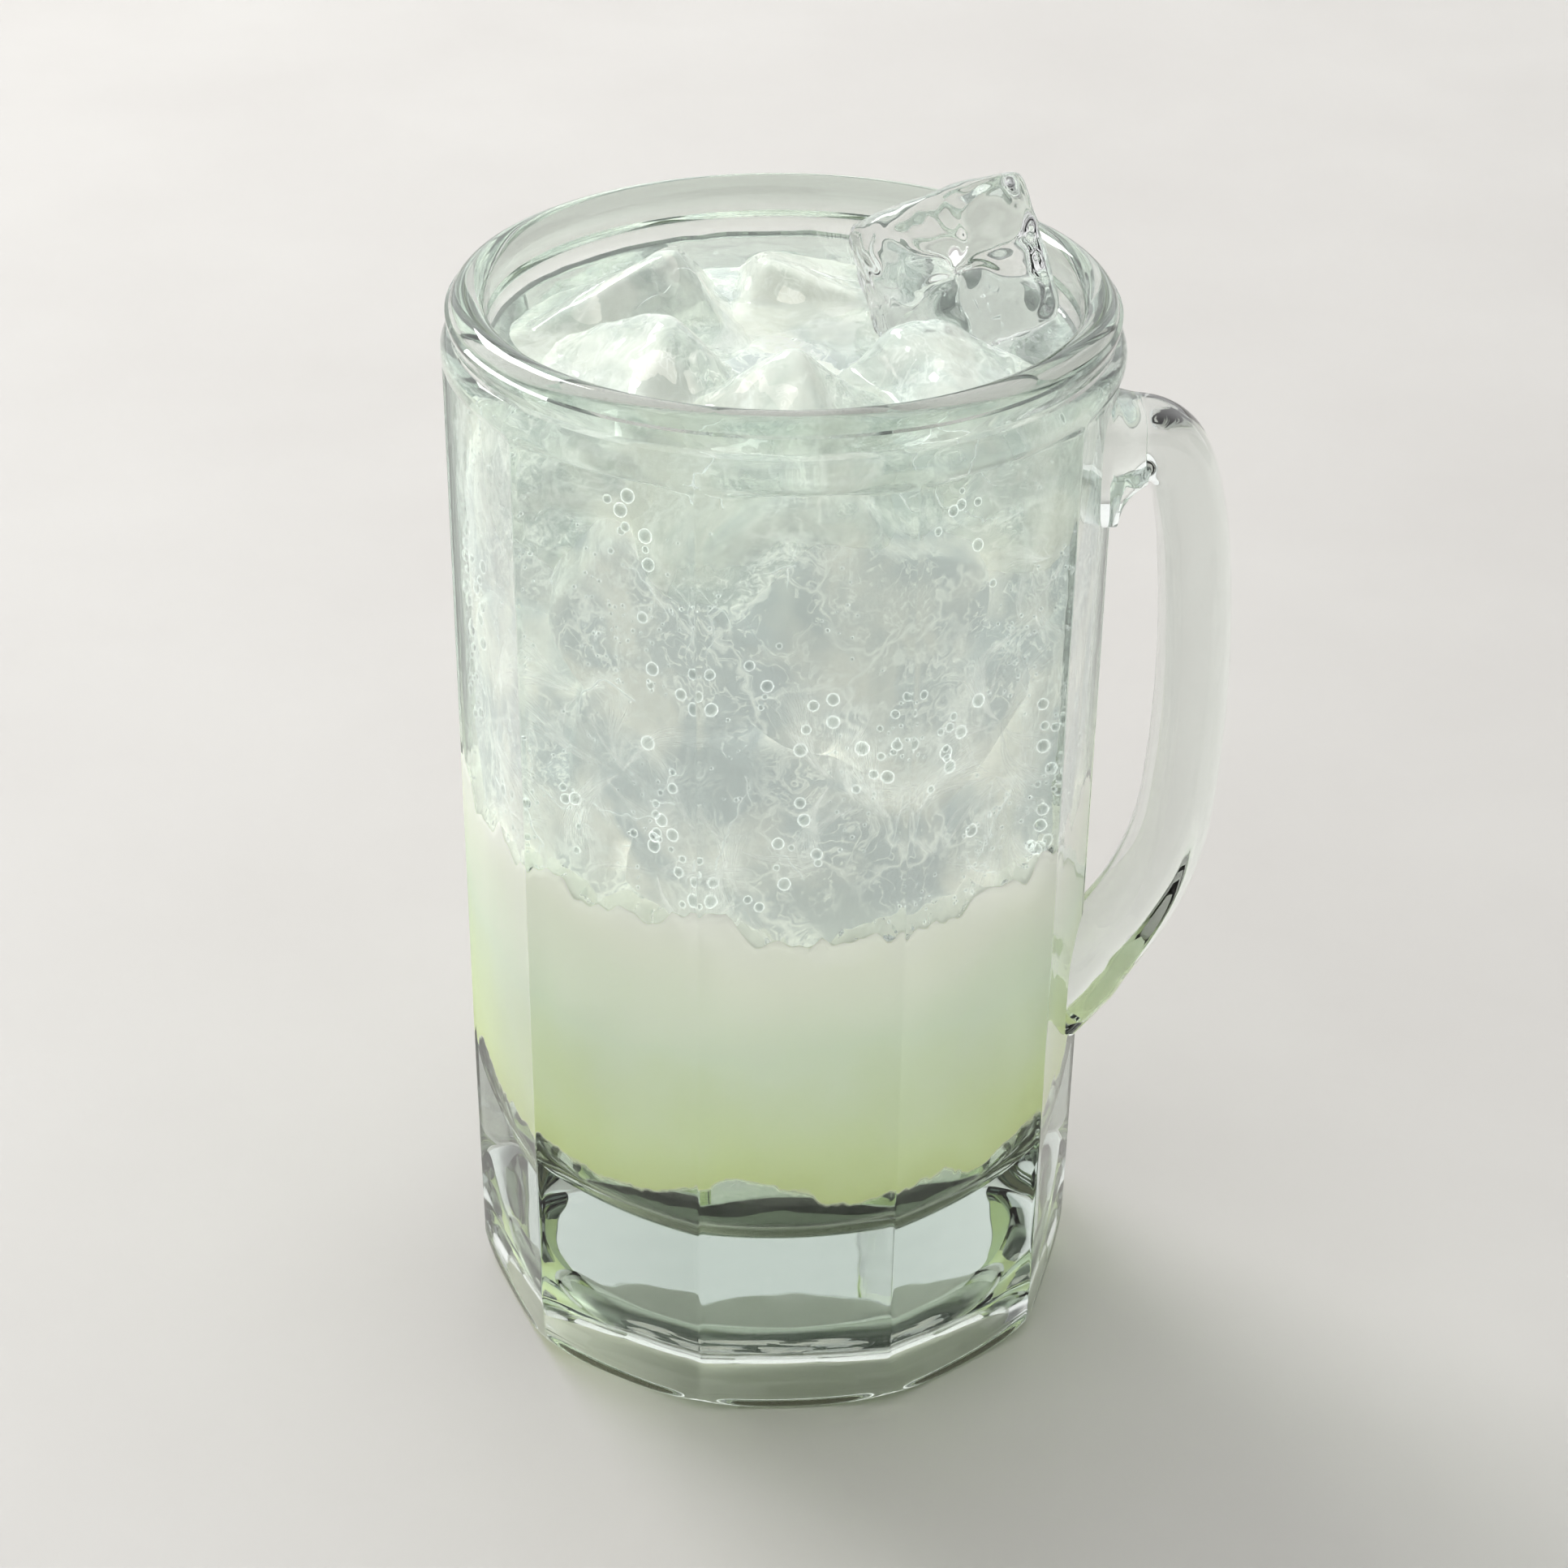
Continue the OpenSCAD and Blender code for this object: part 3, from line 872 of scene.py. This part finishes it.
def cloudy_ice(name, shades, clear_share, cloudy_share, roughness, glow):
    """Cloudy ice: frozen gas makes it cream white in soft patches, blue grey between, and cracks
    run through it as a broken net of white lines with wisps along them.

    The shades are the colours between and in the clouds; the shares are how much light passes
    straight in there. The net is where warped cell borders are near, the wisps where a fine
    noise crosses its middle value, and a broad noise breaks both up. glow is the strength of a
    painted glow: an emission in the look's colour that stands in for light scattered in the ice.
    """
    material, tree, output = new_material(name)
    place = object_place(tree)
    noise = fractal(tree, place, 15, 3.0, distortion=0.5)
    shade = ramped(tree, (noise, 0), ((0.45, shades[0]), (0.6, shades[1])))
    clear = spread(tree, (noise, 0), 0.42, 0.62, clear_share, cloudy_share)

    warp = fractal(tree, place, 8, 3.0)
    warped = node(tree, "ShaderNodeVectorMath", links=[(0, warp, "Color"), (2, *place)],
                  operation="MULTIPLY_ADD")
    warped.inputs[1].default_value = (17 * MM, 17 * MM, 17 * MM)
    cells = node(tree, "ShaderNodeTexVoronoi", links=[("Vector", warped, 0)],
                 feature="DISTANCE_TO_EDGE", scale=1 / (15 * MM))
    net = spread(tree, (cells, "Distance"), 0.045, 0.0)
    wisp = fractal(tree, (warped, 0), 6, 3.0, distortion=1.5)
    middle = calculated(tree, "SUBTRACT", (wisp, 0), 0.5)
    from_middle = calculated(tree, "ABSOLUTE", (middle, 0))
    fine = spread(tree, (from_middle, 0), 0.04, 0.0)
    lines = calculated(tree, "MAXIMUM", (net, 0), (fine, 0))
    broad = fractal(tree, place, 20, 2.0, distortion=1.0)
    broken = spread(tree, (broad, 0), 0.38, 0.52, 0.0, 0.85)
    white = calculated(tree, "MULTIPLY", (lines, 0), (broken, 0))
    look = mixed(tree, (white, 0), (shade, 0), "#fdfdf8")

    bumps = relief(tree, 6.0, 0.3, detail=3.0)
    # painted glow: the emission, in the look's colour, evens out the blocks' shading
    ice = node(tree, "ShaderNodeBsdfPrincipled",
               links=[("Base Color", look, 2), ("Transmission Weight", clear, 0),
                      ("Normal", bumps, 0), ("Emission Color", look, 2)],
               roughness=roughness, ior=1.06, emission_strength=glow)
    lit_through(tree, output, ice, "#cdd3d0")
    return material


def crack_veil():
    """Crazed ice: white feathers of air along a crack, streaked from its start and thin at its edges,
    with a painted glow.
    """
    material, tree, output = new_material("crazed_ice_feather")
    along = node(tree, "ShaderNodeUVMap")
    split = node(tree, "ShaderNodeSeparateXYZ", links=[(0, along, 0)])
    stretch = node(tree, "ShaderNodeMapping", links=[("Vector", along, 0)])
    stretch.inputs["Scale"].default_value = (1.3, 13.0, 1.0)
    noise = node(tree, "ShaderNodeTexNoise", links=[("Vector", stretch, 0)], scale=1.0, detail=5.0)
    streak = spread(tree, (noise, 0), 0.42, 0.6)
    fade = spread(tree, (split, "X"), 1.0, 0.1)
    alpha = calculated(tree, "MULTIPLY", (streak, 0), (fade, 0))
    # The white is the feathers' own; the emission is a painted glow
    feather = node(tree, "ShaderNodeBsdfPrincipled", links=[("Alpha", alpha, 0)],
                   base_color=linear("#fbfbf7"), roughness=0.5, emission_color=linear("#fbfbf7"),
                   emission_strength=0.55)
    tree.links.new(feather.outputs[0], output.inputs["Surface"])
    return material


def crack_white():
    """Air along a crack in ice: a frosty white thread, with a painted glow."""
    material, tree, output = new_material("frosty_crack")
    noise = fractal(tree, object_place(tree), 1.5, 2.0)
    shade = mixed(tree, (noise, 0), "#eef3f0", "#ffffff")
    # The white is the frost's own; the emission is a painted glow
    frost = node(tree, "ShaderNodeBsdfPrincipled",
                 links=[("Base Color", shade, 2), ("Emission Color", shade, 2)],
                 roughness=0.35, ior=1.2, emission_strength=0.45)
    tree.links.new(frost.outputs[0], output.inputs["Surface"])
    return material


def gas_bubble():
    """Gas in the drink: a clear bead with a painted highlight ring, an emission that grows towards its
    edge.
    """
    material, tree, output = new_material("gas_bubble")
    # painted highlight: emission that rises towards the bead's edge draws its bright ring
    edge = node(tree, "ShaderNodeLayerWeight", blend=0.35)
    ring = calculated(tree, "POWER", (edge, "Facing"), 1.6)
    painted_ring_glint = calculated(tree, "MULTIPLY", (ring, 0), 1.6)
    bubble = node(tree, "ShaderNodeBsdfPrincipled", links=[("Emission Strength", painted_ring_glint, 0)],
                  base_color=linear("#e3e8e6"), roughness=0.0, ior=1.33, transmission_weight=1.0,
                  emission_color=linear("#ffffff"))
    lit_through(tree, output, bubble, "#ffffff")
    return material


def pale_floor():
    """Honed pale stone: matt, with faint soft mottling."""
    material, tree, output = new_material("honed_pale_stone")
    noise = fractal(tree, object_place(tree), 1000 / 14, 6.0)
    shade = mixed(tree, (noise, 0), "#b6b3af", "#c1bfbb")
    stone = node(tree, "ShaderNodeBsdfPrincipled", links=[("Base Color", shade, 2)],
                 roughness=0.55)
    tree.links.new(stone.outputs[0], output.inputs["Surface"])
    return material


# ---------------------------------------------------------------- floor, light and camera
def add_floor():
    """A wide flat floor."""
    half = 6000.0
    corners = [[-half, -half, 0], [half, -half, 0], [half, half, 0], [-half, half, 0]]
    floor = put_mesh("floor", corners, [[0, 1, 2, 3]])
    floor.data.materials.append(pale_floor())


def add_area_light(name, place, target, size, power):
    """A square soft light at place, facing target; metres and watts. It isn't seen through glass."""
    lamp = bpy.data.lights.new(name, "AREA")
    lamp.size = size
    lamp.energy = power
    holder = bpy.data.objects.new(name, lamp)
    holder.visible_transmission = False
    holder.location = place
    holder.rotation_euler = (Vector(target) - Vector(place)).to_track_quat("-Z", "Y").to_euler()
    bpy.context.scene.collection.objects.link(holder)


# Dark parts of the surroundings, which draw the glass's edges: direction, reach, light left
DARK_SIDES = (((0.2, -0.85, 0.35), 0.80, 0.10), ((0.95, 0.25, 0.16), 0.86, 0.25),
              ((-0.95, -0.1, 0.12), 0.90, 0.35))


def add_sky():
    """Soft studio surroundings: bright above and behind, darker towards the viewer's side."""
    world = bpy.data.worlds.new("studio")
    bpy.context.scene.world = world
    world.use_nodes = True
    tree = world.node_tree
    tree.nodes.clear()
    place = node(tree, "ShaderNodeTexCoord")
    toward = node(tree, "ShaderNodeVectorMath", links=[(0, place, "Generated")],
                  operation="DOT_PRODUCT")
    toward.inputs[1].default_value = Vector((-0.35, 0.75, 0.56)).normalized()
    share = spread(tree, (toward, "Value"), -1.0, 1.0)
    ramp = ramped(tree, (share, 0), (
        (0.0, "#c0c2c2"), (0.3, "#d0d2d2"), (0.5, "#e4e5e5"), (0.75, "#f5f5f5"), (1.0, "#ffffff")))
    light = ramp, 0
    for way, edge, centre_light in DARK_SIDES:
        ahead = node(tree, "ShaderNodeVectorMath", links=[(0, place, "Generated")],
                     operation="DOT_PRODUCT")
        ahead.inputs[1].default_value = Vector(way).normalized()
        dark = spread(tree, (ahead, "Value"), edge, edge + 0.1, 1.0, centre_light,
                      interpolation_type="SMOOTHSTEP")
        shaded = node(tree, "ShaderNodeMix", links=[(6, *light), (7, dark, 0)],
                      data_type="RGBA", blend_type="MULTIPLY", factor=1.0)
        light = shaded, 2
    glow = node(tree, "ShaderNodeBackground", links=[("Color", *light)], strength=1.2)
    out = tree.nodes.new("ShaderNodeOutputWorld")
    tree.links.new(glow.outputs[0], out.inputs[0])


def add_camera():
    """A long lens looking down at the mug from the side of the handle's left."""
    azimuth, elevation, roll = math.radians(-4.3), math.radians(28.82), 0.0107
    distance, target_z, shift_right = 0.55, 0.07655, 0.000657
    lens = bpy.data.cameras.new("camera")
    lens.lens = 91.69
    lens.sensor_width = 36.0
    lens.clip_start = 0.01
    back = Vector((math.sin(azimuth) * math.cos(elevation), -math.cos(azimuth) * math.cos(elevation),
                   math.sin(elevation)))
    right = Vector((math.cos(azimuth), math.sin(azimuth), 0))
    target = Vector((0, 0, target_z)) + right * shift_right
    up = back.cross(right)
    camera = bpy.data.objects.new("camera", lens)
    turn = Matrix((right, up, back)).transposed() @ Matrix.Rotation(roll, 3, "Z")
    camera.matrix_world = Matrix.Translation(target + back * distance) @ turn.to_4x4()
    bpy.context.scene.collection.objects.link(camera)
    bpy.context.scene.camera = camera


def finish_piece(piece, material, slot, *nodes, casts_shadow=True):
    """Gives a piece its material and its body, and hides the construction nodes it stands for; slot is
    not used.
    """
    piece.data.materials.clear()
    piece.data.materials.append(material)
    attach(piece, "root")
    if nodes:
        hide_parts(*nodes)
    piece.visible_shadow = casts_shadow


# ---------------------------------------------------------------- build
rng = np.random.default_rng(7)
body = outward(mug_body())
grip = outward(mug_handle())
mug = joined(body, grip)
mug.name = "mug_glass"
mug.data.set_sharp_from_angle(angle=math.radians(38))
finish_piece(mug, pressed_glass(), "mug_glass", "mug")

top_piece, top_place = top_block()
finish_piece(top_piece, clear_ice(), "ice", "ice_top")

mounds = {}
# The last number is the strength of a painted glow
mound_look = cloudy_ice("wet_mound_ice", ("#c8cdc8", "#ebebe3"), 0.8, 0.35, 0.12, 0.24)
for order, (name, (size, tilt)) in enumerate(FLOATING.items()):
    if name != "ice_top":
        mounds[name] = melted_block(floating_centre(name), size, turned(*tilt), 70 + order, cuts=6)
        mound = joined_blocks(name.replace("ice", "block"), [mounds[name]], 60 + order, 0.5, n=36)
        finish_piece(mound, mound_look, "ice", name)

pale = pale_drink(list(mounds.values()), top_place)
finish_piece(pale, pale_lemonade(), "pale_lemonade", "lemonade_pale")
green = green_drink()
finish_piece(green, green_lemonade(), "green_lemonade", "lemonade_green")

sunken = sunken_blocks(rng)
# The last number is the strength of a painted glow
sunken_look = cloudy_ice("cloudy_sunken_ice", ("#c9cdcd", "#f0eee7"), 0.2, 0.05, 0.5, 0.46)
finish_piece(joined_blocks("ice_sunken", sunken, 80, 3.0), sunken_look, "ice")

cracks = put_mesh("ice_cracks", *crack_lines(list(mounds.values()) + sunken, rng))
finish_piece(cracks, crack_white(), "ice", casts_shadow=False)
finish_piece(crack_fans("ice_feathers", rng, 70), crack_veil(), "ice", casts_shadow=False)


gas = gas_bubble()
large_radii = rng.uniform(0.4, 1.0, 260)
large_places = scattered(large_radii, LAYER_Z + 2, LEVEL_Z - 4, 0.85, 5, rng)
finish_piece(balls("bubbles_large", large_places, large_radii, 9, 14), gas, "pale_lemonade",
             casts_shadow=False)
small_radii = rng.uniform(0.12, 0.32, 1500)
small_places = scattered(small_radii, LAYER_Z - 2, LEVEL_Z - 2, 0.8, 12, rng)
finish_piece(balls("bubbles_small", small_places, small_radii, 4, 7), gas, "pale_lemonade",
             casts_shadow=False)

# ---------------------------------------------------------------- the picture
add_floor()
add_sky()
add_area_light("key", (-0.8, 1.2, 1.3), (0, 0.1, 0.0), 0.7, 25)
add_camera()
scene = bpy.context.scene
scene.view_settings.view_transform = "Standard"
scene.cycles.max_bounces = 9
scene.cycles.transmission_bounces = 9
scene.cycles.glossy_bounces = 4
scene.cycles.diffuse_bounces = 2
scene.cycles.transparent_max_bounces = 8
scene.cycles.adaptive_threshold = 0.08
scene.cycles.adaptive_min_samples = 12
scene.cycles.sample_clamp_indirect = 4.0
scene.cycles.caustics_reflective = False
